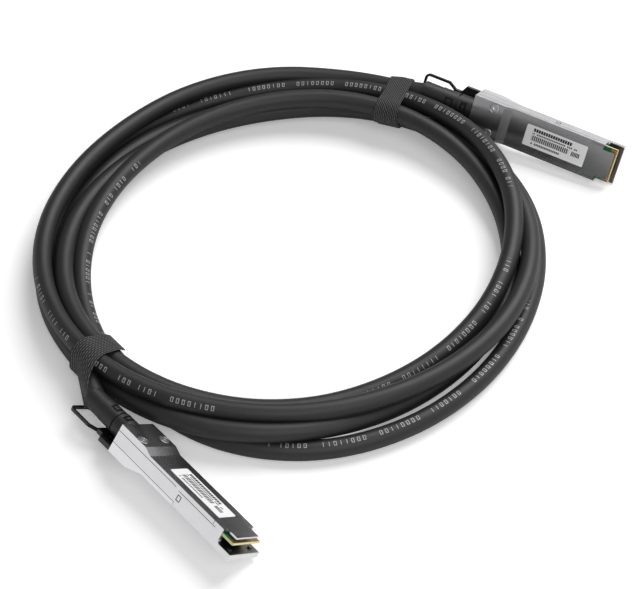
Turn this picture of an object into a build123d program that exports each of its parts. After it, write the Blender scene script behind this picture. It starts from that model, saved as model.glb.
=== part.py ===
from build123d import *
import math
import os

os.makedirs("parts", exist_ok=True)

# A direct attach copper cable of 3 m: one round jacketed cord wound into a flat coil, held by two
# woven straps, with a pluggable metal connector, a pull tab and a moulded sleeve on each end.
# A connector is built in its own frame: x runs forward from the back of its head, y across it,
# z up from the underside of its plug, and the label is on top. All lengths are in millimetres.

# Cord and coil: the turns at the four corners of the bundle, each given by its distance from the
# coil's axis and its height, at a few angles round the coil. Order: inner low, inner high, outer high,
# outer low.
CORD_DIAMETER = 8.4
COIL_CENTRE = (-27.8, 29.3)
BACK_SECTIONS = {
    90: [(94.0, 5.0), (92.4, 16.0), (115.4, 12.0), (108.0, 5.0)],
    120: [(92.0, 5.0), (88.9, 13.6), (110.8, 12.7), (109.6, 4.3)],
    155: [(93.0, 5.0), (88.6, 11.8), (107.6, 12.3), (109.6, 4.4)],
    190: [(93.2, 4.6), (93.0, 8.0), (109.0, 14.0), (109.0, 4.5)],
}
FRONT_SECTIONS = {
    245: [(95.5, 4.5), (96.5, 10.5), (104.0, 16.3), (107.5, 6.0)],
    275: [(90.5, 5.0), (90.5, 7.0), (99.5, 14.4), (111.0, 5.4)],
    305: [(87.8, 4.8), (87.8, 6.8), (99.0, 13.6), (108.6, 4.6)],
    335: [(94.0, 4.6), (91.2, 10.5), (102.4, 13.2), (107.0, 4.4)],
    365: [(96.6, 6.0), (97.8, 16.2), (104.2, 15.4), (109.0, 4.4)],
    395: [(97.4, 9.0), (97.6, 14.6), (105.4, 18.4), (110.0, 4.5)],
}

COIL_STEP = 12
COIL_SIDES = 16

# Straps: the angle round the coil, the width, and the corner turns that each one holds
STRAP_THICKNESS = 1.0
STRAP_CLEARANCE = 0.5
STRAP_LAP_LENGTH = 13.0
STRAP_PLACES = {
    "a": {
        "angle": 219.5,
        "width": 14.0,
        "turns": [(98.0, 6.0), (100.6, 13.4), (108.8, 16.4), (114.3, 10.2)],
    },
    "b": {
        "angle": 62.7,
        "width": 12.0,
        "turns": [(99.5, 6.8), (95.8, 15.9), (115.3, 15.8), (107.5, 6.0)],
    },
}

# Where the two connectors lie, from the coil's axis: back of the head, heading, pitch and roll in degrees
PLUG_PLACES = {
    "a": {"position": (-64.8, -110.4, 8.2), "heading": -49.1, "pitch": 1.0, "roll": -38.3},
    "b": {"position": (86.9, 89.2, 13.1), "heading": -28.2, "pitch": 3.7, "roll": 66.4},
}
# The free stretch of cord behind each connector starts inside the bound bundle
CORD_EXITS = {
    "a": (-89.4, -62.6, 8.6),
    "b": (46.1, 105.8, 15.2),
}

# Connector outline
PLUG_WIDTH = 18.35
PLUG_HEIGHT = 8.5
PLUG_LENGTH = 72.8
SIDE_WALL = 0.88
FLOOR_WALL = 1.2
BACK_WALL = 4.0
SEAM_HEIGHT = 7.0
PARTING_WIDTH = 0.25
PARTING_DEPTH = 0.6
REAR_SEAM_END = 36.5
FRONT_SEAM_START = 38.6
FRONT_SEAM_END = 60.8
FRONT_SEAM_DROP = 0.3

# Raised head behind the plug
HEAD_TOP_RISE = 1.5
HEAD_TOP_LENGTH = 15.0
HEAD_TOP_SLOPE = 4.0
HEAD_DROP = 2.9
HEAD_BOTTOM_LENGTH = 10.6
HEAD_BOTTOM_SLOPE = 8.7

# Nose: the lid steps in twice, and the lower shell ends in a flat tongue
LID_STEP_START = 59.3
LID_STEP_HALF = 8.0
LID_TIP_START = 64.5
LID_TIP_HALF = 6.6
LID_TIP_END = 70.3
LIP_THICKNESS = 0.8
MOUTH_START = 64.9
MOUTH_RADIUS = 1.6
TONGUE_THICKNESS = 2.4
SLOT_CLEARANCE = 0.25
STUD_PLACE = (69.6, 6.2)
STUD_SIZE = 1.4
STUD_HEIGHT = 0.5

# Paddle card with its pads, chips and leads
CARD_WIDTH = 16.4
CARD_THICKNESS = 1.0
CARD_UNDERSIDE = 5.5
CARD_START = 30.0
CARD_END = 71.2
CARD_CLEARANCE = 0.1
CARD_LEDGE = 1.0
PAD_COUNT = 19
PAD_PITCH = 0.8
PAD_WIDTH = 0.54
PAD_LENGTH = 2.6
PAD_SETBACK = 0.4
PAD_THICKNESS = 0.06
CHIP_PLACES = [(44.0, -2.6, 3.0, 2.4, 0.9), (44.0, 3.4, 2.0, 1.3, 0.7), (50.0, 0.0, 2.0, 1.3, 0.7)]
PAIR_COUNT = 4
PAIR_DIAMETER = 1.1
PAIR_PITCH = 3.6
PAIR_SOLDER_LENGTH = 3.0
LEAD_POCKET_START = 17.5
LEAD_POCKET_HALF = 6.4
LEAD_POCKET_DEPTH = 0.8

# Latch slide, its travel and the pull tab
SLIDE_THICKNESS = 0.6
SLIDE_HEIGHT = 1.5
SLIDE_END = 38.8
SLIDE_CLEARANCE = 0.2
SLIDE_TAIL_LENGTH = 7.0
SLIDE_TAIL_HALF = 5.0
WINDOW_START = 39.1
WINDOW_LENGTH = 2.2
WINDOW_BASE = 2.8
WINDOW_HEIGHT = 2.6
WINDOW_DEPTH = 0.6
WINDOW_GAP = 0.35
TAB_ROOT_HALF = 7.1
TAB_ROOT_LENGTH = 8.4
TAB_ROOT_GAP = 0.3
TAB_NECK_HALF = 3.8
TAB_NECK_END = 13.2
TAB_LOOP_HALF = 6.2
TAB_LOOP_START = 17.0
TAB_LENGTH = 29.8
TAB_STRAND = 1.2
TAB_THICKNESS = 1.2
TAB_DROP = 0.4
TAB_ROOT_THICKNESS = 2.0

# Moulded sleeve, crimp ring, screws and label
SLEEVE_LENGTH = 26.0
SLEEVE_RADIUS = 5.2
SLEEVE_REAR_RADIUS = 4.65
SLEEVE_REAR_LENGTH = 9.0
SLEEVE_SHANK_RADIUS = 3.9
SLEEVE_AXIS_HEIGHT = 4.5
SLEEVE_NECK_RADIUS = 4.9
SLEEVE_COLLAR_LENGTH = 7.5
SLEEVE_RING_GROOVE = 1.0
SLEEVE_SLOTS = [(4.5, 3.0), (12.0, 4.0)]
SLEEVE_SLOT_RIM = 0.8
SLEEVE_SLOT_FLOOR = 4.1
SLEEVE_PAD_HALF = 1.8
SLEEVE_GROOVE_DEPTH = 0.5
SLEEVE_FIT = 0.05
CORD_INSERT = 2.5
CRIMP_LENGTH = 3.4
CRIMP_WALL = 0.35
CRIMP_ACROSS = 7.2
SCREW_PLACE = 10.6
SCREW_SPREAD = 6.4
SCREW_HEAD_DIAMETER = 4.2
SCREW_HEAD_HEIGHT = 0.9
SCREW_SHANK_DIAMETER = 1.8
SCREW_LENGTH = 6.0
SCREW_RECESS_ACROSS = 1.5
SCREW_RECESS_DEPTH = 0.6
SCREW_CLEARANCE = 0.3
BOSS_WIDTH = 3.5
LABEL_START = 27.6
LABEL_LENGTH = 30.3
LABEL_WIDTH = 10.3
LABEL_THICKNESS = 0.2
LABEL_RECESS = 0.1

HEAD_TOP = PLUG_HEIGHT + HEAD_TOP_RISE
HALF_WIDTH = PLUG_WIDTH / 2
INNER_HALF = HALF_WIDTH - SIDE_WALL
CARD_TOP = CARD_UNDERSIDE + CARD_THICKNESS
SLIDE_FACE = HALF_WIDTH - SLIDE_THICKNESS


def block(x_range, y_range, z_range):
    """A box given by its low and high values along each axis."""
    size = [high - low for low, high in (x_range, y_range, z_range)]
    middle = [(high + low) / 2 for low, high in (x_range, y_range, z_range)]
    return Pos(*middle) * Box(*size)


def side_plate(points, half_width):
    """A side view (x, z) carried across the connector, half_width to each side."""
    outline = Plane.XZ * make_face(Polyline(*points, close=True))
    return extrude(outline, half_width, both=True)


def both_sides(solid):
    """A solid and its mirror image across the connector's middle plane."""
    return solid + mirror(solid, Plane.XZ)


def rod(start, end, radius):
    """A round bar between two points."""
    path = Line(start, end)
    return sweep(Plane(start, z_dir=path % 0) * Circle(radius), path)


def one_solid(shape):
    """The single solid of a result that has only one."""
    solids = shape.solids()
    assert len(solids) == 1, len(solids)
    return solids[0]


# Lower shell

def lower_shell():
    slope_end = HEAD_BOTTOM_LENGTH + HEAD_BOTTOM_SLOPE
    body = side_plate(
        [
            (0, -HEAD_DROP),
            (HEAD_BOTTOM_LENGTH, -HEAD_DROP),
            (slope_end, 0),
            (PLUG_LENGTH, 0),
            (PLUG_LENGTH, TONGUE_THICKNESS),
            (MOUTH_START, TONGUE_THICKNESS),
            (MOUTH_START, SEAM_HEIGHT),
            (0, SEAM_HEIGHT),
        ],
        HALF_WIDTH,
    )
    across = body.edges().filter_by(Axis.Y)
    mouth_edges = across.filter_by_position(Axis.X, MOUTH_START - 0.1, MOUTH_START + 0.1)
    body = fillet(mouth_edges.sort_by(Axis.Z)[:1], MOUTH_RADIUS)
    riser = block(
        (LID_STEP_START + SLOT_CLEARANCE, MOUTH_START),
        (LID_STEP_HALF + SLOT_CLEARANCE, HALF_WIDTH),
        (SEAM_HEIGHT, PLUG_HEIGHT),
    )
    body += both_sides(riser)
    upper_room = block((BACK_WALL, PLUG_LENGTH), (-INNER_HALF, INNER_HALF), (CARD_UNDERSIDE, SEAM_HEIGHT))
    ledge_half = INNER_HALF - CARD_LEDGE
    lower_room = block((BACK_WALL, LID_STEP_START), (-ledge_half, ledge_half), (FLOOR_WALL, CARD_UNDERSIDE))
    mouth_room = block(
        (LID_STEP_START, PLUG_LENGTH),
        (-ledge_half, ledge_half),
        (TONGUE_THICKNESS, CARD_UNDERSIDE),
    )
    head_room = block(
        (BACK_WALL, HEAD_BOTTOM_LENGTH),
        (-ledge_half, ledge_half),
        (FLOOR_WALL - HEAD_DROP, FLOOR_WALL),
    )
    body -= upper_room + lower_room + mouth_room + head_room
    boss = Pos(SCREW_PLACE, SCREW_SPREAD, SEAM_HEIGHT / 2) * Box(BOSS_WIDTH, BOSS_WIDTH, SEAM_HEIGHT)
    stud = Pos(*STUD_PLACE, TONGUE_THICKNESS) * Box(STUD_SIZE, STUD_SIZE, 2 * STUD_HEIGHT)
    body += both_sides(boss)
    body += both_sides(stud)
    return body - sleeve_bore() - screw_holes() - slide_room() - window_pockets() - front_seam()


def sleeve_bore():
    """The round hole through the back wall that the sleeve's shank sits in."""
    start = (-1, 0, SLEEVE_AXIS_HEIGHT)
    end = (BACK_WALL + 1, 0, SLEEVE_AXIS_HEIGHT)
    return rod(start, end, SLEEVE_SHANK_RADIUS + SLEEVE_FIT)


def screw_holes():
    """Tapped holes in the two bosses."""
    depth = HEAD_TOP - SCREW_HEAD_HEIGHT - SCREW_LENGTH
    hole = Pos(SCREW_PLACE, SCREW_SPREAD, depth) * extrude(Circle(SCREW_SHANK_DIAMETER / 2), SCREW_LENGTH)
    return both_sides(hole)


def slide_outline(clearance):
    """Side view of one latch arm: it hangs under the head and runs along the plug's foot."""
    slope_end = HEAD_BOTTOM_LENGTH + HEAD_BOTTOM_SLOPE
    return [
        (-clearance, -HEAD_DROP),
        (HEAD_BOTTOM_LENGTH, -HEAD_DROP),
        (slope_end, 0),
        (SLIDE_END + clearance, 0),
        (SLIDE_END + clearance, SLIDE_HEIGHT + clearance),
        (-clearance, SLIDE_HEIGHT + clearance),
    ]


def slide_room():
    """The recess round both latch arms and their cross plate."""
    arms = side_plate(slide_outline(SLIDE_CLEARANCE), HALF_WIDTH + 1)
    arms -= block((-1, PLUG_LENGTH), (-SLIDE_FACE + SLIDE_CLEARANCE, SLIDE_FACE - SLIDE_CLEARANCE), (-9, 9))
    plate_top = SLIDE_THICKNESS + SLIDE_CLEARANCE - HEAD_DROP
    plate = block((-1, HEAD_BOTTOM_LENGTH), (-HALF_WIDTH, HALF_WIDTH), (-HEAD_DROP - 1, plate_top))
    return arms + plate


def window_pockets():
    """A narrow moat in each side, round the small catch that the cage's spring finger meets."""
    middle = (WINDOW_START + WINDOW_LENGTH / 2, HALF_WIDTH, WINDOW_BASE + WINDOW_HEIGHT / 2)
    pocket = Box(WINDOW_LENGTH, 2 * WINDOW_DEPTH, WINDOW_HEIGHT)
    catch = Box(WINDOW_LENGTH - 2 * WINDOW_GAP, PLUG_WIDTH, WINDOW_HEIGHT - 2 * WINDOW_GAP)
    return both_sides(Pos(*middle) * (pocket - catch))


def front_seam():
    """The groove along each side of the nose, turned up at its front end."""
    depth_range = (HALF_WIDTH - PARTING_DEPTH, HALF_WIDTH + 1)
    low = SEAM_HEIGHT - FRONT_SEAM_DROP
    line = block((FRONT_SEAM_START, FRONT_SEAM_END), depth_range, (low - PARTING_WIDTH, low))
    turn = block(
        (FRONT_SEAM_END - PARTING_WIDTH, FRONT_SEAM_END),
        depth_range,
        (low - PARTING_WIDTH, low + PARTING_WIDTH),
    )
    return both_sides(line + turn)


# Upper shell

def upper_shell():
    lip_height = PLUG_HEIGHT - LIP_THICKNESS
    lid = side_plate(
        [
            (0, SEAM_HEIGHT),
            (MOUTH_START, SEAM_HEIGHT),
            (MOUTH_START, lip_height),
            (LID_TIP_END, lip_height),
            (LID_TIP_END, PLUG_HEIGHT),
            (HEAD_TOP_LENGTH + HEAD_TOP_SLOPE, PLUG_HEIGHT),
            (HEAD_TOP_LENGTH, HEAD_TOP),
            (0, HEAD_TOP),
        ],
        HALF_WIDTH,
    )
    step = block((LID_STEP_START, PLUG_LENGTH), (LID_STEP_HALF, HALF_WIDTH), (0, HEAD_TOP))
    tip = block((LID_TIP_START, PLUG_LENGTH), (LID_TIP_HALF, HALF_WIDTH), (0, HEAD_TOP))
    groove = block(
        (-1, REAR_SEAM_END),
        (HALF_WIDTH - PARTING_DEPTH, HALF_WIDTH + 1),
        (SEAM_HEIGHT, SEAM_HEIGHT + PARTING_WIDTH),
    )
    lid -= both_sides(step) + both_sides(tip) + both_sides(groove)
    rib = block(
        (CARD_START + PAIR_SOLDER_LENGTH, LID_STEP_START),
        (INNER_HALF - CARD_LEDGE, INNER_HALF - CARD_CLEARANCE),
        (CARD_TOP + CARD_CLEARANCE, SEAM_HEIGHT),
    )
    lid += both_sides(rib)
    head_pocket = block(
        (BACK_WALL, SCREW_PLACE - SCREW_HEAD_DIAMETER / 2 - SCREW_CLEARANCE),
        (CARD_LEDGE - INNER_HALF, INNER_HALF - CARD_LEDGE),
        (SEAM_HEIGHT, HEAD_TOP - FLOOR_WALL),
    )
    lead_pocket = block(
        (LEAD_POCKET_START, CARD_START + PAIR_SOLDER_LENGTH),
        (-LEAD_POCKET_HALF, LEAD_POCKET_HALF),
        (SEAM_HEIGHT, SEAM_HEIGHT + LEAD_POCKET_DEPTH),
    )
    label_bed = block(
        (LABEL_START, LABEL_START + LABEL_LENGTH),
        (-LABEL_WIDTH / 2, LABEL_WIDTH / 2),
        (PLUG_HEIGHT - LABEL_RECESS, PLUG_HEIGHT + 1),
    )
    seat = HEAD_TOP - SCREW_HEAD_HEIGHT
    counterbore = Circle(SCREW_HEAD_DIAMETER / 2 + SCREW_CLEARANCE)
    shank_hole = Circle(SCREW_SHANK_DIAMETER / 2 + SCREW_CLEARANCE / 2)
    screw_seat = Pos(SCREW_PLACE, SCREW_SPREAD, seat) * extrude(counterbore, 2)
    screw_seat += Pos(SCREW_PLACE, SCREW_SPREAD, 0) * extrude(shank_hole, HEAD_TOP)
    return lid - head_pocket - lead_pocket - label_bed - both_sides(screw_seat) - sleeve_bore()


# Paddle card and what it carries

def paddle_card():
    card = block((CARD_START, CARD_END), (-CARD_WIDTH / 2, CARD_WIDTH / 2), (CARD_UNDERSIDE, CARD_TOP))
    nose = card.faces().sort_by(Axis.X)[-1]
    return chamfer(nose.edges().filter_by(Axis.Y), CARD_THICKNESS / 4)


def contact_pads():
    pad = Box(PAD_LENGTH, PAD_WIDTH, PAD_THICKNESS)
    x = CARD_END - PAD_SETBACK - PAD_LENGTH / 2
    pads = []
    for index in range(PAD_COUNT):
        y = (index - (PAD_COUNT - 1) / 2) * PAD_PITCH
        pads.append(Pos(x, y, CARD_TOP + PAD_THICKNESS / 2) * pad)
        pads.append(Pos(x, y, CARD_UNDERSIDE - PAD_THICKNESS / 2) * pad)
    return Compound(children=pads)


def card_chips():
    """Small chips soldered under the card."""
    chips = []
    for x, y, length, width, height in CHIP_PLACES:
        chips.append(Pos(x, y, CARD_UNDERSIDE - height / 2) * Box(length, width, height))
    return Compound(children=chips)


def pair_leads():
    """Eight shielded pairs: four run over the card and four under it."""
    leads = []
    bundle_end = BACK_WALL + CRIMP_LENGTH
    radius = PAIR_DIAMETER / 2
    for level in (-1, 1):
        if level > 0:
            card_height = CARD_TOP + radius
        else:
            card_height = CARD_UNDERSIDE - radius
        for index in range(PAIR_COUNT):
            lane = index - (PAIR_COUNT - 1) / 2
            start = (bundle_end, lane * PAIR_DIAMETER * 1.15, SLEEVE_AXIS_HEIGHT + level * PAIR_DIAMETER)
            middle = (CARD_START, lane * PAIR_PITCH, card_height)
            end = (CARD_START + PAIR_SOLDER_LENGTH, lane * PAIR_PITCH, card_height)
            path = Polyline(start, middle, end)
            section = Plane(start, z_dir=path % 0) * RegularPolygon(radius, 8)
            leads.append(sweep(section, path, transition=Transition.RIGHT))
    return Compound(children=leads)


# Latch slide and pull tab

def latch_slide():
    arms = side_plate(slide_outline(0), HALF_WIDTH)
    arms -= block((-1, PLUG_LENGTH), (-SLIDE_FACE, SLIDE_FACE), (-9, 9))
    plate_top = SLIDE_THICKNESS - HEAD_DROP
    plate = block((0, HEAD_BOTTOM_LENGTH - 0.1), (-SLIDE_FACE, SLIDE_FACE), (-HEAD_DROP, plate_top))
    tail = block((-SLIDE_TAIL_LENGTH, 0), (-SLIDE_TAIL_HALF, SLIDE_TAIL_HALF), (-HEAD_DROP, plate_top))
    return arms + plate + tail


def pull_tab():
    """A soft loop moulded onto the slide's tail, one thin strand round a finger opening."""
    middle_height = SLIDE_THICKNESS / 2 - HEAD_DROP - TAB_DROP
    loop_points = [
        (-TAB_NECK_END, TAB_NECK_HALF),
        (-TAB_LOOP_START, TAB_LOOP_HALF),
        (-TAB_LENGTH, TAB_LOOP_HALF),
        (-TAB_LENGTH, -TAB_LOOP_HALF),
        (-TAB_LOOP_START, -TAB_LOOP_HALF),
        (-TAB_NECK_END, -TAB_NECK_HALF),
    ]
    outline = make_face(Polyline(*loop_points, close=True))
    outline = fillet(outline.vertices().group_by(Axis.X)[0], 2.6)
    outline = fillet(outline.vertices().group_by(Axis.X)[-2], 2.6)
    opening = offset(outline, -TAB_STRAND, kind=Kind.INTERSECTION)
    loop = Pos(0, 0, middle_height - TAB_THICKNESS / 2) * extrude(outline - opening, TAB_THICKNESS)
    root_points = [
        (-TAB_ROOT_GAP, TAB_ROOT_HALF),
        (-TAB_ROOT_LENGTH, TAB_ROOT_HALF),
        (-TAB_ROOT_LENGTH - 2, TAB_NECK_HALF),
        (-TAB_NECK_END, TAB_NECK_HALF),
        (-TAB_NECK_END, -TAB_NECK_HALF),
        (-TAB_ROOT_LENGTH - 2, -TAB_NECK_HALF),
        (-TAB_ROOT_LENGTH, -TAB_ROOT_HALF),
        (-TAB_ROOT_GAP, -TAB_ROOT_HALF),
    ]
    root = extrude(make_face(Polyline(*root_points, close=True)), TAB_ROOT_THICKNESS)
    root = Pos(0, 0, middle_height - TAB_ROOT_THICKNESS / 2) * root
    return loop + root - latch_slide()


# Sleeve, crimp ring, screws and label

def strain_relief():
    """A stepped sleeve and its shank, turned about the cord's axis, with a collar and relief slots."""
    neck_start = SLEEVE_COLLAR_LENGTH + SLEEVE_RING_GROOVE
    groove_radius = SLEEVE_NECK_RADIUS - SLEEVE_GROOVE_DEPTH
    outline = [
        (BACK_WALL, 0),
        (BACK_WALL, SLEEVE_SHANK_RADIUS),
        (0, SLEEVE_SHANK_RADIUS),
        (0, SLEEVE_RADIUS),
        (-SLEEVE_COLLAR_LENGTH, SLEEVE_RADIUS),
        (-SLEEVE_COLLAR_LENGTH, groove_radius),
        (-neck_start, groove_radius),
        (-neck_start, SLEEVE_NECK_RADIUS),
        (SLEEVE_REAR_LENGTH - SLEEVE_LENGTH, SLEEVE_NECK_RADIUS),
        (SLEEVE_REAR_LENGTH - SLEEVE_LENGTH, SLEEVE_REAR_RADIUS),
        (-SLEEVE_LENGTH, SLEEVE_REAR_RADIUS),
        (-SLEEVE_LENGTH, 0),
    ]
    sleeve = revolve(Plane.XZ * make_face(Polyline(*outline, close=True)), Axis.X)
    for middle, length in SLEEVE_SLOTS:
        sleeve -= sleeve_slot(middle, length)
    return Pos(0, 0, SLEEVE_AXIS_HEIGHT) * one_solid(sleeve)


def sleeve_slot(middle, length):
    """A flat-floored slot across the top of the sleeve, round a raised pad."""
    height_range = (SLEEVE_SLOT_FLOOR, SLEEVE_RADIUS + 1)
    low, high = -middle - length / 2, -middle + length / 2
    slot = block((low, high), (-SLEEVE_RADIUS, SLEEVE_RADIUS), height_range)
    pad = block(
        (low + SLEEVE_SLOT_RIM, high - SLEEVE_SLOT_RIM),
        (-SLEEVE_PAD_HALF, SLEEVE_PAD_HALF),
        height_range,
    )
    return slot - pad


def crimp_ring():
    """A six-sided metal ring pressed on the cord's stripped end, just inside the back wall."""
    outside = RegularPolygon(CRIMP_ACROSS / 2, 6, major_radius=False)
    inside = Circle(CRIMP_ACROSS / 2 - CRIMP_WALL)
    seat = Plane(origin=(BACK_WALL, 0, SLEEVE_AXIS_HEIGHT), z_dir=(1, 0, 0))
    return extrude(seat * (outside - inside), CRIMP_LENGTH)


def shell_screws():
    seat = HEAD_TOP - SCREW_HEAD_HEIGHT
    head = Pos(0, 0, seat) * extrude(Circle(SCREW_HEAD_DIAMETER / 2), SCREW_HEAD_HEIGHT)
    head = chamfer(head.edges().group_by(Axis.Z)[-1], 0.25)
    shank = Pos(0, 0, seat - SCREW_LENGTH) * extrude(Circle(SCREW_SHANK_DIAMETER / 2), SCREW_LENGTH)
    hexagon = RegularPolygon(SCREW_RECESS_ACROSS / 2, 6, major_radius=False)
    recess = Pos(0, 0, HEAD_TOP - SCREW_RECESS_DEPTH) * extrude(hexagon, SCREW_RECESS_DEPTH)
    screw = head + shank - recess
    return Compound(children=[Pos(SCREW_PLACE, side * SCREW_SPREAD, 0) * screw for side in (-1, 1)])


def label_plate():
    bed = PLUG_HEIGHT - LABEL_RECESS
    plate = block(
        (LABEL_START, LABEL_START + LABEL_LENGTH),
        (-LABEL_WIDTH / 2, LABEL_WIDTH / 2),
        (bed, bed + LABEL_THICKNESS),
    )
    return fillet(plate.edges().filter_by(Axis.Z), 0.6)


# Coil, straps and the free ends of the cord

def bundle_section(turns, margin=0):
    """A tight band round the corner turns, on the plane y = 0 with x the distance from the axis."""
    corners = make_face(Polyline(*turns, close=True))
    return Plane.XZ * offset(corners, CORD_DIAMETER / 2 + margin)


def strap_half_angle(place):
    nearest = min(radius for radius, height in place["turns"])
    return math.degrees((place["width"] / 2 + STRAP_CLEARANCE) / (nearest - CORD_DIAMETER / 2))


def turns_between(stations, angle):
    """The four corner turns at an angle, on straight lines between the two stations round it."""
    for (low, first), (high, second) in zip(stations, stations[1:]):
        if angle <= high:
            break
    share = (angle - low) / (high - low)
    corners = []
    for (near_radius, near_height), (far_radius, far_height) in zip(first, second):
        radius = near_radius + (far_radius - near_radius) * share
        height = near_height + (far_height - near_height) * share
        corners.append((radius, height))
    return corners


def coil_ring(turns, angle):
    """Points round the corner turns at an angle: for each direction, the far edge of the farthest turn."""
    across = math.radians(angle)
    points = []
    for index in range(COIL_SIDES):
        turn = 2 * math.pi * (index + 0.5) / COIL_SIDES
        outward, up = math.cos(turn), math.sin(turn)
        radius, height = max(turns, key=lambda corner: corner[0] * outward + corner[1] * up)
        radius += CORD_DIAMETER / 2 * outward
        height += CORD_DIAMETER / 2 * up
        points.append(Vector(radius * math.cos(across), radius * math.sin(across), height))
    return points


def arc_rings(first_strap, sections, second_strap, whole_turn=0):
    """The rings of points from the near edge of one strap to the middle of the next."""
    first_angle = first_strap["angle"] + strap_half_angle(first_strap)
    last_angle = second_strap["angle"] + whole_turn - strap_half_angle(second_strap)
    stations = [(first_angle, first_strap["turns"]), *sections.items(), (last_angle, second_strap["turns"])]
    run_count = math.ceil((last_angle - first_angle) / COIL_STEP)
    run = (last_angle - first_angle) / run_count
    angles = [first_angle + run * index for index in range(run_count + 1)]
    rings = [coil_ring(turns_between(stations, angle), angle) for angle in angles]
    return rings + [coil_ring(second_strap["turns"], second_strap["angle"] + whole_turn)]


def cable_coil():
    """One closed solid with the outline of all the turns, from flat three-cornered faces."""
    near, far = STRAP_PLACES["a"], STRAP_PLACES["b"]
    rings = arc_rings(far, BACK_SECTIONS, near) + arc_rings(near, FRONT_SECTIONS, far, 360)
    faces = []
    for ring, following in zip(rings, rings[1:] + rings[:1]):
        for index in range(COIL_SIDES):
            after = (index + 1) % COIL_SIDES
            first, second = ring[index], ring[after]
            third, fourth = following[after], following[index]
            faces.append(make_face(Polyline(first, second, third, close=True)))
            faces.append(make_face(Polyline(first, third, fourth, close=True)))
    coil = Pos(*COIL_CENTRE, 0) * Solid(Shell([face.face() for face in faces]))
    for place in PLUG_PLACES.values():
        coil -= plug_location(place) * plug_clearance()
    return one_solid(coil)


def plug_clearance():
    """The room that the coil leaves round a connector's head and sleeve."""
    head = block(
        (-1, PLUG_LENGTH),
        (-HALF_WIDTH - 0.5, HALF_WIDTH + 0.5),
        (-HEAD_DROP - 0.5, HEAD_TOP + 0.5),
    )
    start = (-SLEEVE_LENGTH - 0.5, 0, SLEEVE_AXIS_HEIGHT)
    end = (0, 0, SLEEVE_AXIS_HEIGHT)
    return head + rod(start, end, SLEEVE_RADIUS + 0.5)


def strap(place):
    """A flat strap closed tightly round the bundle, with one end lapped over itself on the outer side."""
    turns = place["turns"]
    layers = [bundle_section(turns, STRAP_CLEARANCE + step * STRAP_THICKNESS) for step in range(3)]
    ring = extrude(layers[1] - layers[0], place["width"] / 2, both=True)
    outermost = max(radius for radius, height in turns)
    lap_range = (outermost - STRAP_LAP_LENGTH, outermost)
    highest = max(height for radius, height in turns)
    lap_height = (highest - CORD_DIAMETER / 2, highest + CORD_DIAMETER)
    lap = extrude(layers[2] - layers[1], place["width"] / 2, both=True)
    lap &= block(lap_range, (-place["width"], place["width"]), lap_height)
    return one_solid(Pos(*COIL_CENTRE, 0) * Rot(0, 0, place["angle"]) * (ring + lap))


def cable_end(name):
    """The straight stretch of cord between the bound bundle and the connector's sleeve."""
    start = Pos(*COIL_CENTRE, 0) * Pos(*CORD_EXITS[name])
    end = plug_location(PLUG_PLACES[name]) * Pos(CORD_INSERT - SLEEVE_LENGTH, 0, SLEEVE_AXIS_HEIGHT)
    return rod(tuple(start.position), tuple(end.position), CORD_DIAMETER / 2)


def plug_location(place):
    turn = Rot(0, 0, place["heading"]) * Rot(0, place["pitch"], 0) * Rot(place["roll"], 0, 0)
    return Pos(*COIL_CENTRE, 0) * Pos(*place["position"]) * turn


PLUG_PIECES = {
    "lower_shell": lower_shell,
    "upper_shell": upper_shell,
    "paddle_card": paddle_card,
    "contact_pads": contact_pads,
    "card_chips": card_chips,
    "pair_leads": pair_leads,
    "latch_slide": latch_slide,
    "pull_tab": pull_tab,
    "strain_relief": strain_relief,
    "crimp_ring": crimp_ring,
    "shell_screws": shell_screws,
    "label_plate": label_plate,
}

if __name__ == "__main__":
    for piece_name, make_piece in PLUG_PIECES.items():
        piece = make_piece()
        for end_name, end_place in PLUG_PLACES.items():
            export_step(plug_location(end_place) * piece, f"parts/{piece_name}_{end_name}.step")
    for end_name, strap_place in STRAP_PLACES.items():
        export_step(strap(strap_place), f"parts/strap_{end_name}.step")
        export_step(cable_end(end_name), f"parts/cable_end_{end_name}.step")
    export_step(cable_coil(), "parts/cable_coil.step")
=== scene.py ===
import math

import bpy
import numpy as np
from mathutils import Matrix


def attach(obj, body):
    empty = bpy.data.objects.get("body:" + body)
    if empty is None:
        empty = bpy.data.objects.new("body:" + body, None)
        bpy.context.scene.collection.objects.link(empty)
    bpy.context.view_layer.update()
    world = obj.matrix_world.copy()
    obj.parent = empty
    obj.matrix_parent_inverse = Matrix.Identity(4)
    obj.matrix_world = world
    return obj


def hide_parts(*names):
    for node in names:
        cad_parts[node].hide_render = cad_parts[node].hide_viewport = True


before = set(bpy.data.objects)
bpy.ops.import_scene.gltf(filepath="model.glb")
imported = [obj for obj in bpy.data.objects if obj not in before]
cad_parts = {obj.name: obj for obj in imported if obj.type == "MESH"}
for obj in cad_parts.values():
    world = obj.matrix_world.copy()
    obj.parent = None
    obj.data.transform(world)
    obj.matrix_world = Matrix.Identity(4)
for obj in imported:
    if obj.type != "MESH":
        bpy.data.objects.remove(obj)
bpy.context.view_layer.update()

MM = 0.001
scene = bpy.context.scene

# Where the coil and the two plugs lie, in millimetres and degrees
COIL_CENTRE = (-27.8, 29.3)
CORD_RADIUS = 4.2
PLUGS = {
    "a": {"position": (-92.6, -81.1, 8.2), "heading": -49.1, "pitch": 1.0, "roll": -38.3},
    "b": {"position": (59.1, 118.5, 13.1), "heading": -28.2, "pitch": 3.7, "roll": 66.4},
}

# The axis of a plug's sleeve, in the plug's own frame: its height, and where on it the cord begins, which is
# a little inside the sleeve's rear end
SLEEVE_AXIS_HEIGHT = 4.5
CORD_START = -23.5

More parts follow.
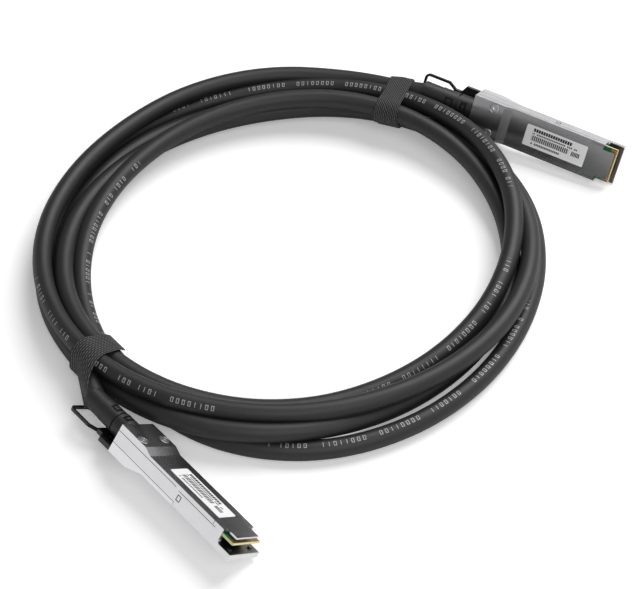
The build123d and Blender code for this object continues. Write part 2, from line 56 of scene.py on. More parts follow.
# The cord's way round the coil: degrees round the axis counted on from turn to turn, distance from the
# axis and height. It goes in at plug b, round four and a half times, and out at plug a.
CORD_WAY = [
    (60, 115.6, 16.6),
    (75, 113.9, 12.0),
    (100, 114.5, 12.1),
    (140, 107.6, 12.3),
    (180, 108.6, 13.5),
    (220, 108.4, 16.6),
    (260, 101.1, 15.3),
    (300, 98.4, 13.9),
    (340, 103.0, 13.2),
    (380, 106.4, 11.4),
    (422, 100.2, 8.9),
    (460, 92.7, 7.1),
    (500, 94.5, 6.8),
    (540, 98.8, 11.2),
    (560, 101.0, 12.4),
    (580, 100.8, 12.6),
    (620, 93.0, 7.9),
    (660, 86.9, 6.0),
    (700, 92.1, 11.4),
    (740, 102.7, 18.7),
    (762, 106.4, 18.0),
    (782, 107.2, 15.2),
    (802, 107.6, 11.2),
    (820, 108.2, 7.0),
    (840, 109.6, 4.6),
    (860, 110.8, 4.3),
    (900, 108.4, 4.3),
    (920, 109.0, 4.6),
    (942, 107.4, 5.6),
    (956, 109.4, 9.8),
    (966, 110.6, 11.9),
    (976, 109.8, 12.3),
    (988, 106.6, 11.6),
    (1002, 103.4, 9.0),
    (1020, 97.6, 5.0),
    (1060, 96.8, 4.5),
    (1080, 96.8, 6.4),
    (1120, 97.1, 13.3),
    (1142, 95.8, 15.9),
    (1160, 93.8, 16.3),
    (1180, 91.0, 15.3),
    (1220, 88.0, 12.4),
    (1260, 91.2, 8.9),
    (1280, 94.4, 5.6),
    (1300, 98.2, 5.2),
    (1316, 102.6, 4.3),
    (1332, 108.4, 4.3),
    (1346, 110.4, 4.4),
    (1362, 111.6, 4.6),
    (1380, 109.3, 4.7),
    (1420, 106.4, 4.3),
    (1460, 110.6, 4.2),
    (1482, 110.4, 4.4),
    (1502, 107.4, 5.4),
    (1520, 103.3, 4.6),
    (1540, 100.5, 4.3),
    (1580, 102.0, 4.3),
    (1620, 101.0, 4.3),
    (1640, 102.4, 5.0),
    (1656, 103.6, 7.6),
]

# The spline's control points in the coil: the first one's angle and the step between them, in degrees, and
# the least height of the cord's underside
COIL_START = 76
CORD_STEP = 20.0
CORD_FLOOR_GAP = 0.1

# The cord's second control point from each sleeve: how far behind the first one, and how far off the axis
SECOND_POINTS = {"a": (7.5, (1.7, 1.8, 0.0)), "b": (8.5, (-0.5, -1.6, -2.0))}

# How finely the cord's tube is divided along each part of its spline, and round it
SPLINE_DETAIL = 14
CORD_SIDES = 28
CORD_ANGLES = np.arange(CORD_SIDES) * 2 * math.pi / CORD_SIDES


def rgb(hex_colour):
    """An sRGB hex colour as linear red, green, blue and alpha."""
    values = [int(hex_colour[i : i + 2], 16) / 255 for i in (1, 3, 5)]
    return [v / 12.92 if v <= 0.04045 else ((v + 0.055) / 1.055) ** 2.4 for v in values] + [1.0]


def turned(heading, pitch, roll):
    """The rotation of a plug as a matrix: roll about x, then pitch about y, then heading about z."""
    h, p, r = (math.radians(a) for a in (heading, pitch, roll))
    about_z = np.array([[math.cos(h), -math.sin(h), 0], [math.sin(h), math.cos(h), 0], [0, 0, 1]])
    about_y = np.array([[math.cos(p), 0, math.sin(p)], [0, 1, 0], [-math.sin(p), 0, math.cos(p)]])
    about_x = np.array([[1, 0, 0], [0, math.cos(r), -math.sin(r)], [0, math.sin(r), math.cos(r)]])
    return about_z @ about_y @ about_x


def sleeve_axis(end, x):
    """A point on the axis of a plug's sleeve, in the row frame."""
    plug = PLUGS[end]
    matrix = turned(plug["heading"], plug["pitch"], plug["roll"])
    return np.array(plug["position"]) + matrix @ np.array([x, 0, SLEEVE_AXIS_HEIGHT])


# Shader nodes

def add_node(tree, kind, settings=(), links=()):
    """Adds a shader node, with values for its sockets or properties and links into its sockets."""
    node = tree.nodes.new(kind)
    for key, value in dict(settings).items():
        if isinstance(key, str) and hasattr(node, key) and key not in node.inputs:
            setattr(node, key, value)
        else:
            node.inputs[key].default_value = value
    for key, source in dict(links).items():
        tree.links.new(source, node.inputs[key])
    return node


def new_material(name, **settings):
    """A material with its tree and shader; settings are the shader's own sockets."""
    material = bpy.data.materials.new(name)
    material.use_nodes = True
    tree = material.node_tree
    shader = tree.nodes["Principled BSDF"]
    for key, value in settings.items():
        shader.inputs[key.replace("_", " ")].default_value = value
    return material, tree, shader


def add_bump(tree, shader, height, distance_mm):
    """Links a height from 0 to 1 into the shader as a bump of this depth."""
    settings = {"Strength": 1.0, "Distance": distance_mm * MM}
    bump = add_node(tree, "ShaderNodeBump", settings, {"Height": height})
    tree.links.new(bump.outputs["Normal"], shader.inputs["Normal"])


def object_noise(tree, size_mm, detail=3.0):
    """Noise on Object coordinates whose blobs are about size_mm across."""
    where = add_node(tree, "ShaderNodeTexCoord")
    settings = {"Scale": 1.0 / (size_mm * MM), "Detail": detail}
    return add_node(tree, "ShaderNodeTexNoise", settings, {"Vector": where.outputs["Object"]}).outputs["Fac"]


def combine(tree, operation, *sources):
    """The result of a Math node on sources that are sockets or plain numbers."""
    settings, links = {"operation": operation}, {}
    for spot, source in enumerate(sources):
        if isinstance(source, (int, float)):
            settings[spot] = source
        else:
            links[spot] = source
    return add_node(tree, "ShaderNodeMath", settings, links).outputs[0]


def band(tree, source, middle, half):
    """1 where the source lies within half of the middle, else 0."""
    return combine(tree, "COMPARE", source, middle, half)


def exceeds(tree, source, limit):
    """1 where the source is more than the limit, else 0."""
    return combine(tree, "GREATER_THAN", source, limit)


def within(tree, place, ranges):
    """1 where every coordinate that the ranges name lies in its own, given as middle and half, else 0."""
    shares = [band(tree, place[axis], middle, half) for axis, (middle, half) in ranges.items()]
    inside = shares[0]
    for share in shares[1:]:
        inside = combine(tree, "MULTIPLY", inside, share)
    return inside


def scaled(tree, source, low, high, start=0.0, stop=1.0):
    """The source's range from start to stop carried over to the range from low to high, and held there."""
    settings = {"From Min": start, "From Max": stop, "To Min": low, "To Max": high}
    return add_node(tree, "ShaderNodeMapRange", settings, {"Value": source}).outputs["Result"]


def blend_colours(tree, share, first, second):
    """A colour between two hex colours or sockets; the share 0 gives the first."""
    settings, links = {"data_type": "RGBA"}, {0: share}
    for socket, colour in ((6, first), (7, second)):
        if isinstance(colour, str):
            settings[socket] = rgb(colour)
        else:
            links[socket] = colour
    return add_node(tree, "ShaderNodeMix", settings, links).outputs[2]


def cells(tree, source, size):
    """The place inside each cell of the given size, and three steady random numbers for the cell."""
    share = combine(tree, "DIVIDE", source, size)
    number = combine(tree, "FLOOR", share)
    noise = add_node(tree, "ShaderNodeTexWhiteNoise", {"noise_dimensions": "1D"}, {"W": number})
    random = add_node(tree, "ShaderNodeSeparateXYZ", (), {"Vector": noise.outputs["Color"]})
    return combine(tree, "FRACT", share), random.outputs


def plug_coordinates(tree, end):
    """Object coordinates in the plug's own frame, in millimetres, and the distance to its middle plane."""
    plug = PLUGS[end]
    where = add_node(tree, "ShaderNodeTexCoord")
    settings = {
        "vector_type": "TEXTURE",
        "Location": [v * MM for v in plug["position"]],
        "Rotation": [math.radians(plug[k]) for k in ("roll", "pitch", "heading")],
        "Scale": (MM, MM, MM),
    }
    local = add_node(tree, "ShaderNodeMapping", settings, {"Vector": where.outputs["Object"]})
    split = add_node(tree, "ShaderNodeSeparateXYZ", (), {"Vector": local.outputs["Vector"]}).outputs
    place = {axis: split[axis] for axis in "XYZ"}
    return {**place, "side": combine(tree, "ABSOLUTE", place["Y"])}


# Materials

# The mouth's floor and inner walls, in the recess under the card, are painted a darker grey as shade, and the
# narrow joints of the sides are dark.
# Each coordinate's range in the plug's own frame is given as its middle and half, in millimetres
MOUTH_FLOOR = {"Z": (2.4, 0.1), "X": (68.0, 4.6), "side": (0.0, 8.95)}
MOUTH_WALLS = {"Z": (4.9, 2.4), "side": (0.0, 8.32)}
SIDE_JOINTS = {"side": (8.7, 0.42), "Z": (4.4, 2.95), "X": (32.0, 32.8)}


def nickel_plated_zinc(end):
    """Satin nickel on cast zinc, softened by orange peel; its joints are dark and its mouth has painted
    shade.
    """
    material, tree, shader = new_material(f"satin_nickel_on_zinc_{end}", Metallic=1.0)
    place = plug_coordinates(tree, end)
    mouth = combine(tree, "MAXIMUM", within(tree, place, MOUTH_FLOOR), within(tree, place, MOUTH_WALLS))
    joints = within(tree, place, SIDE_JOINTS)
    # The mouth's floor and inner walls under the card get a darker grey: painted shade.
    plate = blend_colours(tree, mouth, "#e0e0e2", "#807c76")
    tree.links.new(blend_colours(tree, joints, plate, "#050505"), shader.inputs["Base Color"])
    # The painted shade in the mouth and the dark joints are also rougher.
    bare = combine(tree, "MINIMUM", combine(tree, "MAXIMUM", mouth, joints), 0.3)
    polish = scaled(tree, object_noise(tree, 6.0), 0.17, 0.28)
    tree.links.new(combine(tree, "MAXIMUM", polish, bare), shader.inputs["Roughness"])
    add_bump(tree, shader, object_noise(tree, 0.5, 2.0), 0.004)
    return material


# The jacket's marks, drawn 0.3 mm thick: a cell's length in millimetres, where its mark stands in it and the
# mark's half widths, as shares of the cell, and the half heights in millimetres
MARK_CELL = 2.4
MARK_MIDDLE = 0.36
MARK_HALF_HEIGHT = 1.05
STROKE_HALF = 0.062
BOX_HALF = 0.26
OPENING_HALF = 0.136
OPENING_HALF_HEIGHT = 0.76

# A cell whose first random number is above the box limit holds a closed box. Any other holds a single
# stroke where its second number is above the stroke limit, or else nothing
BOX_LIMIT = 0.45
STROKE_LIMIT = 0.18

# Marks stand in groups of eight with a gap of two between them
GROUP_CELL = 10 * MARK_CELL
GROUP_HALF = 0.4


def jacket():
    """Extruded PVC: satin black with a fine grain, and a line of small grey ink-jet marks along it."""
    material, tree, shader = new_material("black_pvc_jacket", IOR=1.5)
    where = add_node(tree, "ShaderNodeUVMap", {"uv_map": "along"})
    split = add_node(tree, "ShaderNodeSeparateXYZ", (), {"Vector": where.outputs["UV"]}).outputs
    part, random = cells(tree, split["X"], MARK_CELL)
    tall = band(tree, split["Y"], 0.0, MARK_HALF_HEIGHT)
    opening_tall = band(tree, split["Y"], 0.0, OPENING_HALF_HEIGHT)
    stroke = combine(tree, "MULTIPLY", tall, band(tree, part, MARK_MIDDLE, STROKE_HALF))
    box = combine(tree, "MULTIPLY", tall, band(tree, part, MARK_MIDDLE, BOX_HALF))
    opening = combine(tree, "MULTIPLY", opening_tall, band(tree, part, MARK_MIDDLE, OPENING_HALF))
    boxed = exceeds(tree, random["X"], BOX_LIMIT)
    box = combine(tree, "MULTIPLY", combine(tree, "SUBTRACT", box, opening), boxed)
    stroke = combine(tree, "MULTIPLY", stroke, exceeds(tree, random["Y"], STROKE_LIMIT))
    stroke = combine(tree, "MULTIPLY", stroke, combine(tree, "SUBTRACT", 1.0, boxed))
    group_part, _ = cells(tree, split["X"], GROUP_CELL)
    grouped = band(tree, group_part, GROUP_HALF, GROUP_HALF)
    mark = combine(tree, "MULTIPLY", combine(tree, "MAXIMUM", box, stroke), grouped)
    printed = add_node(tree, "ShaderNodeAttribute", {"attribute_name": "printed"})
    ink = combine(tree, "MULTIPLY", mark, printed.outputs["Fac"])
    cloud = object_noise(tree, 9.0)
    body = blend_colours(tree, cloud, "#1b1b1c", "#232324")
    tree.links.new(blend_colours(tree, ink, body, "#a6a6a2"), shader.inputs["Base Color"])
    tree.links.new(scaled(tree, cloud, 0.46, 0.58), shader.inputs["Roughness"])
    add_bump(tree, shader, object_noise(tree, 0.4, 2.0), 0.012)
    return material


def moulded_rubber(name, colour, roughness, grain_mm):
    """Moulded elastomer: black, with a grain that the mould leaves."""
    material, tree, shader = new_material(name, Roughness=roughness, IOR=1.5)
    body = blend_colours(tree, object_noise(tree, 4.0), colour, "#222222")
    tree.links.new(body, shader.inputs["Base Color"])
    add_bump(tree, shader, object_noise(tree, grain_mm, 2.0), 0.03)
    return material


def plain_metal(name, colour, roughness):
    """Bare or plated metal with slight variation in polish."""
    material, tree, shader = new_material(name, Metallic=1.0, Base_Color=rgb(colour))
    polish = scaled(tree, object_noise(tree, 0.6), roughness * 0.8, roughness * 1.25)
    tree.links.new(polish, shader.inputs["Roughness"])
    return material


# Where the card's pads begin, and where its cut edges show in front and at its sides, in millimetres
PAD_START = 68.1
CARD_FRONT = 70.9
CARD_SIDE = 8.15


def solder_mask(end):
    """Glass laminate under green solder mask; its cut edges are cream and the pads' strip is bare brown."""
    material, tree, shader = new_material(f"green_solder_mask_{end}", Roughness=0.3, IOR=1.5)
    place = plug_coordinates(tree, end)
    green = blend_colours(tree, object_noise(tree, 1.2), "#0f5a35", "#1d7a4a")
    surface = blend_colours(tree, exceeds(tree, place["X"], PAD_START), green, "#7c5a34")
    side = exceeds(tree, place["side"], CARD_SIDE)
    edge = combine(tree, "MAXIMUM", side, exceeds(tree, place["X"], CARD_FRONT))
    tree.links.new(blend_colours(tree, edge, surface, "#e6dcae"), shader.inputs["Base Color"])
    return material


# Rows of print on the label: length of a cell, share of cells left bare, share of a cell that its bar
# fills, and where the row lies along and across
LABEL_ROWS = [
    (1.2, 0.1, 0.8, (31.0, 50.5), (2.5, 4.1)),
    (0.85, 0.12, 0.7, (31.0, 55.0), (1.1, 1.9)),
    (0.95, 0.0, 0.64, (31.0, 49.6), (-1.9, 0.6)),
    (0.7, 0.0, 0.7, (51.0, 55.4), (-1.9, 0.2)),
    (0.85, 0.12, 0.7, (31.5, 46.0), (-3.8, -2.8)),
]
BAR_MIDDLE = 0.45


def label_film(end):
    """White polyester label with rows of plain printed bars, laid out in the plug's own frame."""
    material, tree, shader = new_material(f"white_label_film_{end}", Roughness=0.42, IOR=1.5)
    place = plug_coordinates(tree, end)
    ink = None
    for size, bare, fill, (low_x, high_x), (low_y, high_y) in LABEL_ROWS:
        part, random = cells(tree, place["X"], size)
        filled = band(tree, part, BAR_MIDDLE, fill / 2)
        bar = combine(tree, "MULTIPLY", exceeds(tree, random["X"], bare), filled)
        ranges = {
            "X": ((low_x + high_x) / 2, (high_x - low_x) / 2),
            "Y": ((low_y + high_y) / 2, (high_y - low_y) / 2),
        }
        row = combine(tree, "MULTIPLY", within(tree, place, ranges), bar)
        ink = combine(tree, "MAXIMUM", ink, row) if ink else row
    tree.links.new(blend_colours(tree, ink, "#f8f8f8", "#161616"), shader.inputs["Base Color"])
    return material


# The tape's ribs are drawn this far apart in millimetres, a little coarser than real, so that they show at
# the photograph's size. At this scale a wave texture has one band for each unit of its coordinates
RIB_PITCH = 0.85
WAVE_SCALE = 0.314

# The power that narrows each rib's painted highlight line, and how bright it still is between the threads
RIB_SHARPNESS = 2.5
THREAD_DIMMEST = 0.35


def woven_tape():
    """Woven nylon hook and loop tape: black and rough, with a painted highlight along each rib's crest that
    slanted threads cross.
    """
    material, tree, shader = new_material(
        "woven_black_nylon", Roughness=0.8, IOR=1.5, Sheen_Weight=0.03, Sheen_Roughness=0.4
    )
    where = add_node(tree, "ShaderNodeUVMap", {"uv_map": "weave"})
    per_rib = (1 / RIB_PITCH, 1 / RIB_PITCH, 1)
    pitch = add_node(tree, "ShaderNodeMapping", {"Scale": per_rib}, {"Vector": where.outputs["UV"]})
    bands = {"wave_type": "BANDS", "Scale": WAVE_SCALE, "Distortion": 0.3}
    waves = {}
    for direction in ("Y", "DIAGONAL"):
        settings = {**bands, "bands_direction": direction}
        wave = add_node(tree, "ShaderNodeTexWave", settings, {"Vector": pitch.outputs["Vector"]})
        waves[direction] = wave.outputs["Fac"]
    # Each rib of the black tape gets a narrow pale line, a painted highlight, dimmed where the slanted
    # threads cross.
    rib = combine(tree, "POWER", waves["Y"], RIB_SHARPNESS)
    painted_rib_highlight = combine(tree, "MULTIPLY", rib, scaled(tree, waves["DIAGONAL"], THREAD_DIMMEST, 1.0))
    tree.links.new(blend_colours(tree, painted_rib_highlight, "#010101", "#6e6e6e"), shader.inputs["Base Color"])
    add_bump(tree, shader, painted_rib_highlight, 0.2)
    return material


def assign(obj, material):
    """Gives the whole object one material."""
    obj.data.materials.clear()
    obj.data.materials.append(material)


# Meshes

def grid_faces(rows, columns):
    """Quads between neighbouring rows of a grid whose columns close on themselves."""
    row, column = np.meshgrid(np.arange(rows - 1), np.arange(columns), indexing="ij")
    here = row * columns
    beyond = here + columns
    following = (column + 1) % columns
    corners = [here + column, here + following, beyond + following, beyond + column]
    return np.stack(corners, axis=-1).reshape(-1, 4)


def add_mesh(name, vertices, faces, caps=()):
    """A smooth object from points in millimetres, quads and whole end faces."""
    mesh = bpy.data.meshes.new(name)
    mesh.from_pydata((vertices * MM).tolist(), [], faces.tolist() + [list(cap) for cap in caps])
    mesh.polygons.foreach_set("use_smooth", [True] * len(faces) + [False] * len(caps))
    mesh.update()
    obj = bpy.data.objects.new(name, mesh)
    scene.collection.objects.link(obj)
    return obj


def write_uv(obj, name, values):
    """Writes one pair of numbers for each vertex into a UV map."""
    layer = obj.data.uv_layers.new(name=name)
    loops = np.empty(len(obj.data.loops), int)
    obj.data.loops.foreach_get("vertex_index", loops)
    layer.data.foreach_set("uv", values[loops].ravel())


def distances(line):
    """How far each point of a line is from its start, measured along it."""
    return np.r_[0, np.cumsum(np.linalg.norm(np.diff(line, axis=0), axis=1))]


def unit(vectors):
    """The same directions, each of length 1."""
    return vectors / np.linalg.norm(vectors, axis=1)[:, None]


# The cord

def eased(angles):
    """Radius and height at each angle: cubic Hermite curves between the points of CORD_WAY."""
    keys = np.array(CORD_WAY)
    known = keys[:, 0]
    spot = np.clip(np.searchsorted(known, angles, side="right") - 1, 0, len(known) - 2)
    span = known[spot + 1] - known[spot]
    t = (angles - known[spot]) / span
    columns = []
    for column in (1, 2):
        values = keys[:, column]
        slopes = np.gradient(values, known)
        value = (2 * t**3 - 3 * t**2 + 1) * values[spot] + (3 * t**2 - 2 * t**3) * values[spot + 1]
        value += (t**3 - 2 * t**2 + t) * span * slopes[spot] + (t**3 - t**2) * span * slopes[spot + 1]
        columns.append(value)
    return columns


def coil_points(angles):
    """Points round the coil's axis; the radius makes up for how far the spline cuts inside its corners."""
    radius, height = eased(angles)
    radius = radius / math.cos(math.radians(CORD_STEP / 2))
    height = np.maximum(height, CORD_RADIUS + CORD_FLOOR_GAP)
    turn = np.radians(angles)
    x = COIL_CENTRE[0] + radius * np.cos(turn)
    y = COIL_CENTRE[1] + radius * np.sin(turn)
    return np.stack([x, y, height], axis=1)


def second_point(end):
    """The cord's second control point from a sleeve, where it has bent a little off the sleeve's axis."""
    behind, off = SECOND_POINTS[end]
    return sleeve_axis(end, CORD_START - behind) + np.array(off)


def cord_route():
    """The cord's control points from sleeve b round the coil to sleeve a, in millimetres."""
    angles = np.arange(COIL_START, CORD_WAY[-1][0] + 1, CORD_STEP)
    start = [sleeve_axis("b", CORD_START), second_point("b")]
    end = [second_point("a"), sleeve_axis("a", CORD_START)]
    return np.concatenate([start, coil_points(angles), end])


def spline_line(points, name):
    """The points along a NURBS spline of order 3 with these control points."""
    curve = bpy.data.curves.new(name, "CURVE")
    curve.dimensions = "3D"
    curve.resolution_u = SPLINE_DETAIL
    spline = curve.splines.new("NURBS")
    spline.points.add(len(points) - 1)
    spline.points.foreach_set("co", np.c_[points * MM, np.ones(len(points))].ravel())
    spline.order_u = 3
    spline.use_endpoint_u = True
    holder = bpy.data.objects.new(name, curve)
    mesh = bpy.data.meshes.new_from_object(holder)
    line = np.empty(len(mesh.vertices) * 3)
    mesh.vertices.foreach_get("co", line)
    bpy.data.objects.remove(holder)
    return line.reshape(-1, 3) / MM


def cord_tube(line):
    """A round tube of circles square to the line: angle 0 is on top, a quarter turn away from the axis."""
    forward = unit(np.gradient(line, axis=0))
    outward = unit(np.cross(forward, [0, 0, 1]))
    upward = np.cross(outward, forward)
    around = CORD_ANGLES[:, None]
    ring = np.cos(around) * upward[:, None, :] + np.sin(around) * outward[:, None, :]
    vertices = (line[:, None, :] + CORD_RADIUS * ring).reshape(-1, 3)
    faces = grid_faces(len(line), CORD_SIDES)[:, ::-1]
    last = (len(line) - 1) * CORD_SIDES
    caps = [range(CORD_SIDES), range(last + CORD_SIDES - 1, last - 1, -1)]
    return add_mesh("cord", vertices, faces, caps)


# Degrees here are counted on round the coil's axis from this value at the cord's first point. The ink shows
# in these stretches, and lies so many degrees round from the top there
PRINT_START = 58.0
PRINT_STRETCHES = [(192, 257), (652, 712), (736, 852), (1226, 1298), (1346, 1424)]
PRINT_TURN = [
    (190, 50),
    (222, 44),
    (250, 42),
    (652, 38),
    (672, 36),
    (692, 26),
    (712, 12),
    (740, -8),
    (785, -25),
    (852, -12),
    (1226, -48),
    (1298, -48),
    (1346, 8),
    (1366, 12),
    (1424, 0),
]


def lay_print(tube, line, travelled):
    """Writes each point's way along the cord and round from the print's line, and 1 where the ink shows."""
    bearing = np.unwrap(np.arctan2(line[:, 1] - COIL_CENTRE[1], line[:, 0] - COIL_CENTRE[0]))
    bearing = np.degrees(bearing - bearing[0]) + PRINT_START
    turn = np.radians(np.interp(bearing, *zip(*PRINT_TURN)))
    off = (CORD_ANGLES - turn[:, None] + math.pi) % (2 * math.pi) - math.pi
    along = np.repeat(travelled[:, None], CORD_SIDES, axis=1)
    write_uv(tube, "along", np.stack([along, off * CORD_RADIUS], axis=-1).reshape(-1, 2))
    shown = np.zeros(len(line))
    for first, last in PRINT_STRETCHES:
        shown[(bearing > first) & (bearing < last)] = 1
    attribute = tube.data.attributes.new("printed", "FLOAT", "POINT")
    attribute.data.foreach_set("value", np.repeat(shown, CORD_SIDES))


cord_line = spline_line(cord_route(), "cord_way")
cord_travelled = distances(cord_line)
cord = cord_tube(cord_line)
lay_print(cord, cord_line, cord_travelled)
assign(cord, jacket())
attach(cord, "root")
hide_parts("cable_coil", "cable_end_a", "cable_end_b")

# The straps

# Each strap stands at an angle round the coil's axis. It holds the turns as they lie at each of the held
# angles, which are counted in degrees from there. The twist, in degrees, turns it away from square across
# the bundle. It starts at a share of the way round from its outer side, wraps so many times, and its tail
# runs on straight by so many millimetres. The edges are given at a few shares of the way from its start:
# where the two lie along the cord, and how far the second one leans outward, in millimetres
STRAPS = {
    "a": {
        "angle": 220.4,
        "held": (-3, -1.5, 0),
        "twist": 0,
        "start": 0.42,
        "wraps": 0.99,
        "tail": 3.5,
        "edges": [
            (0, -6, 5, 0),
            (0.3, -6.5, 7, 0),
            (0.43, -6, 8.5, 0.8),
            (0.52, -6, 14.5, 6.3),
            (0.59, -6, 17.2, 8.7),
            (0.67, -6, 13, 5),
            (0.76, -5.8, 8.5, 0.5),
            (0.85, -5.8, 6.5, 0),
            (1, -6, 5, 0),
        ],
    },
    "b": {
        "angle": 62.7,
        "held": (0,),
        "twist": 8,
        "start": 0.45,
        "wraps": 1.04,
        "tail": 4.0,
        "edges": [
            (0, -5, 5.5, 0),
            (0.3, -5.5, 5.5, 0),
            (0.55, -5.5, 5.5, -1.6),
            (0.8, -5.5, 5, 0),
            (1.04, -5.2, 6.5, 0),
        ],
    },
}

# The tape's measures, its distance from the cord and the least one from the floor, in millimetres
STRAP_WIDTH = 11.0
STRAP_THICKNESS = 0.7
STRAP_GAP = 0.1
STRAP_FLOOR_GAP = 0.05

# The tape's edges are rounded over this width in millimetres, down to the root of this share of its thickness
EDGE_ROUNDING = 0.4
EDGE_SHARE = 0.05

# The radius of the bundle's middle in millimetres, the steps of one wrap, the directions in which its tight
# line is looked for, the profile's points on each side, and each wrap's lift off the last, in thicknesses
BUNDLE_RADIUS = 104.0
WRAP_STEPS = 240
BAND_DIRECTIONS = 721
PROFILE_POINTS = 30
WRAP_LIFT = 1.12


def held_turns(angle):
    """Where the cord's turns cross the upright half plane at this angle, as distance and height."""
    offsets = cord_line[:, :2] - np.array(COIL_CENTRE)
    bearing = np.degrees(np.unwrap(np.arctan2(offsets[:, 1], offsets[:, 0])))
    distance = np.hypot(offsets[:, 0], offsets[:, 1])
    crossings = np.arange(angle - 360, bearing.max() + 360, 360)
    crossings = crossings[(crossings > bearing.min()) & (crossings < bearing.max())]
    columns = [np.interp(crossings, bearing, values) for values in (distance, cord_line[:, 2])]
    return np.stack(columns, axis=1)


def band_line(turns, reach):
    """A tight band round circles: for each direction the farthest circle's edge, evenly spaced by length."""
    direction = np.linspace(0, 2 * math.pi, BAND_DIRECTIONS)
    facing = np.stack([np.cos(direction), np.sin(direction)], axis=1)
    farthest = np.argmax(facing @ turns.T, axis=1)
    edge = turns[farthest] + reach * facing
    travelled = distances(edge)
    even = np.linspace(0, travelled[-1], WRAP_STEPS, endpoint=False)
    line = np.stack([np.interp(even, travelled, edge[:, i]) for i in (0, 1)], axis=1)
    return line, travelled[-1]


def wound_way(facts):
    """The tape's way, each wrap outside the last and its tail straight on, across the bundle.

    It gives the places, their outward normals, the distance to each and the length of one wrap.
    """
    turns = np.concatenate([held_turns(facts["angle"] + shift) for shift in facts["held"]])
    base, length = band_line(turns, CORD_RADIUS + STRAP_GAP + STRAP_THICKNESS / 2)
    step = length / WRAP_STEPS
    wound = np.arange(int(WRAP_STEPS * facts["wraps"]))
    index = (wound + int(WRAP_STEPS * facts["start"])) % WRAP_STEPS
    forward = unit(base[(index + 1) % WRAP_STEPS] - base[index - 1])
    normal = np.stack([forward[:, 1], -forward[:, 0]], axis=1)
    lift = STRAP_THICKNESS * WRAP_LIFT * wound / WRAP_STEPS
    spot = base[index] + normal * lift[:, None]
    tail_steps = int(facts["tail"] / step)
    tail = spot[-1] + forward[-1] * (np.arange(1, tail_steps + 1) * step)[:, None]
    spot = np.concatenate([spot, tail])
    normal = np.concatenate([normal, np.repeat(normal[-1:], tail_steps, axis=0)])
    return spot, normal, np.arange(len(spot)) * step, length


def tape_profile(low_edge, high_edge):
    """The profile out along the top and back underneath, with rounded edges: share, place across and lift."""
    spread = (1 - np.cos(np.linspace(0, math.pi, PROFILE_POINTS))) / 2
    spread = np.r_[spread, spread[::-1]]
    side = np.r_[np.ones(PROFILE_POINTS), -np.ones(PROFILE_POINTS)]
    width = (high_edge - low_edge)[:, None]
    inset = np.minimum(spread, 1 - spread) * width
    rounded = np.sqrt(np.clip(1 - np.clip(1 - inset / EDGE_ROUNDING, 0, 1) ** 2, EDGE_SHARE, 1))
    return spread, low_edge[:, None] + width * spread, side * STRAP_THICKNESS / 2 * rounded


def strap(end, facts):
    """A tape wound round the bundle: its thin profile is carried along its way, turned and leaned outward."""
    spot, normal, distance, length = wound_way(facts)
    share, *edges = np.array(facts["edges"]).T
    low_edge, high_edge, lean = (np.interp(distance / length, share, values) for values in edges)
    spread, across, lift = tape_profile(low_edge, high_edge)
    turn = math.radians(facts["angle"])
    middle = BUNDLE_RADIUS * np.array([math.cos(turn), math.sin(turn), 0])
    turn += math.radians(facts["twist"])
    radial = np.array([math.cos(turn), math.sin(turn), 0])
    tangent = np.array([-math.sin(turn), math.cos(turn), 0])
    upright = np.array([0, 0, 1.0])
    centre = middle + (spot[:, 0:1] - BUNDLE_RADIUS) * radial + spot[:, 1:2] * upright
    facing = normal[:, 0:1] * radial + normal[:, 1:2] * upright
    leaning = lean[:, None] * np.clip(across / high_edge[:, None], 0, 1)
    vertices = centre[:, None, :] + facing[:, None, :] * lift[:, :, None]
    vertices = vertices + across[:, :, None] * tangent + leaning[:, :, None] * radial
    vertices = vertices + np.array([COIL_CENTRE[0], COIL_CENTRE[1], 0])
    vertices[:, :, 2] = np.maximum(vertices[:, :, 2], STRAP_FLOOR_GAP)
    rows, columns = vertices.shape[:2]
    last = (rows - 1) * columns
    caps = [range(columns - 1, -1, -1), range(last, last + columns)]
    obj = add_mesh(f"woven_strap_{end}", vertices.reshape(-1, 3), grid_faces(rows, columns), caps)
    weave = np.broadcast_arrays(distance[:, None], (spread - 0.5)[None, :] * STRAP_WIDTH)
    write_uv(obj, "weave", np.stack(weave, axis=-1).reshape(-1, 2))
    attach(obj, "root")
    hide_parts(f"strap_{end}")
    return obj


tape = woven_tape()
for end, facts in STRAPS.items():
    assign(strap(end, facts), tape)

# Finishes of the connector pieces

finishes = {
    "contact_pads": plain_metal("gold_plate", "#ecd08c", 0.3),
    "card_chips": moulded_rubber("chip_epoxy", "#161616", 0.5, 0.3),
    "pair_leads": plain_metal("foil_wrap", "#b9b9bb", 0.35),
    "latch_slide": plain_metal("stamped_spring_steel", "#e6e6e8", 0.2),
    "pull_tab": moulded_rubber("glossy_pull_tab", "#0c0c0c", 0.18, 1.2),
    "strain_relief": moulded_rubber("matt_sleeve", "#151515", 0.48, 0.35),
    "crimp_ring": plain_metal("brass_ring", "#b08f4f", 0.3),
    "shell_screws": plain_metal("bright_screw", "#f0f0f0", 0.3),
}
for end in PLUGS:
    for piece, finish in finishes.items():
        assign(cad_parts[f"{piece}_{end}"], finish)
    shell_finish = nickel_plated_zinc(end)
    assign(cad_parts[f"lower_shell_{end}"], shell_finish)
    assign(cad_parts[f"upper_shell_{end}"], shell_finish)
    assign(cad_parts[f"label_plate_{end}"], label_film(end))
    assign(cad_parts[f"paddle_card_{end}"], solder_mask(end))

# Floor, light and camera

# The camera as fitted to the outlines of both plugs: millimetres for the lens and the middle of the picture
# on the floor, degrees above the floor, and metres from that middle
CAMERA_LENS = 105.77
CAMERA_MIDDLE = (-15.2, 9.4, 0.0)
CAMERA_RISE = 46.4676
CAMERA_DISTANCE = 0.8215
FLOOR_REACH = 3000.0


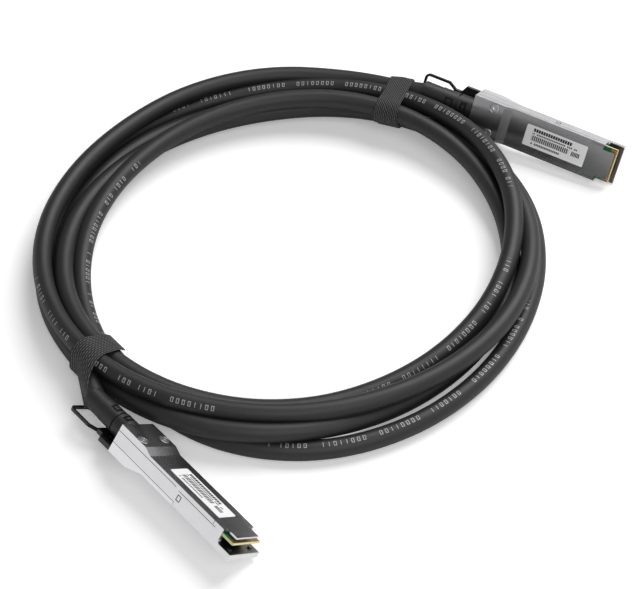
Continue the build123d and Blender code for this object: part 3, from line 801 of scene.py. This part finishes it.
def studio_floor():
    """A matt white sheet that keeps the object's shadow and, to the camera, glows a little."""
    material, tree, shader = new_material(
        "pale_floor",
        Roughness=0.9,
        Base_Color=rgb("#f6f6f6"),
        Specular_IOR_Level=0.0,
        Emission_Color=rgb("#ffffff"),
    )
    # The glow grows with distance, in metres, so that the floor meets the white world without an edge
    seen = add_node(tree, "ShaderNodeLightPath").outputs["Is Camera Ray"]
    place = add_node(tree, "ShaderNodeTexCoord").outputs["Object"]
    reach = add_node(tree, "ShaderNodeVectorMath", {"operation": "LENGTH"}, {0: place}).outputs["Value"]
    glow = scaled(tree, reach, 0.27, 0.9, 0.22, 1.6)
    tree.links.new(combine(tree, "MULTIPLY", seen, glow), shader.inputs["Emission Strength"])
    return material


def add_floor():
    """A square sheet round the object's place."""
    signs = np.array([[-1, -1, 0], [1, -1, 0], [1, 1, 0], [-1, 1, 0]])
    floor = add_mesh("floor", FLOOR_REACH * signs, np.array([[0, 1, 2, 3]]))
    assign(floor, studio_floor())


def add_light(name, place, size, power):
    """A round white lamp at a place in metres, turned towards the middle of the floor."""
    light = bpy.data.lights.new(name, "AREA")
    light.shape = "DISK"
    light.size = size
    light.energy = power
    lamp = bpy.data.objects.new(name, light)
    scene.collection.objects.link(lamp)
    x, y, z = place
    lamp.location = place
    lamp.rotation_euler = (math.atan2(math.hypot(x, y), z), 0, math.atan2(-y, -x) - math.pi / 2)


def add_world():
    """White to the camera; to reflections bright low at the sides, and dim overhead, in front and behind."""
    world = bpy.data.worlds.new("studio")
    scene.world = world
    world.use_nodes = True
    tree = world.node_tree
    back = tree.nodes["Background"]
    back.inputs["Color"].default_value = rgb("#ffffff")
    path = add_node(tree, "ShaderNodeLightPath").outputs
    way = add_node(tree, "ShaderNodeTexCoord").outputs["Generated"]
    aim = add_node(tree, "ShaderNodeSeparateXYZ", (), {"Vector": way}).outputs
    low = scaled(tree, aim["Z"], 1.0, 0.22, 0.12, 0.7)
    sideways = scaled(tree, combine(tree, "ABSOLUTE", aim["Y"]), 1.0, 0.2, 0.25, 0.85)
    bright = combine(tree, "MAXIMUM", combine(tree, "MULTIPLY", low, sideways), path["Is Camera Ray"])
    # It lights matt surfaces more weakly than the camera and reflections see it
    seen = combine(tree, "MAXIMUM", path["Is Camera Ray"], path["Is Glossy Ray"])
    strength = combine(tree, "MULTIPLY", scaled(tree, seen, 0.38, 1.0), bright)
    tree.links.new(strength, back.inputs["Strength"])


def add_camera():
    """The photograph's camera, looking down at the middle of its picture from the front."""
    camera = bpy.data.cameras.new("camera")
    camera.sensor_width = 36.0
    camera.lens = CAMERA_LENS
    camera.clip_end = 20.0
    holder = bpy.data.objects.new("camera", camera)
    scene.collection.objects.link(holder)
    rise = math.radians(CAMERA_RISE)
    back_and_up = np.array([0, -math.cos(rise), math.sin(rise)])
    holder.location = np.array(CAMERA_MIDDLE) * MM + CAMERA_DISTANCE * back_and_up
    holder.rotation_euler = (math.pi / 2 - rise, 0, 0)
    scene.camera = holder


scene.view_settings.view_transform = "Standard"
add_floor()
add_world()
add_light("key", (0.6, 0.75, 1.25), 1.3, 23.5)
add_light("fill", (0.3, -1.0, 1.1), 1.4, 10.5)
add_camera()
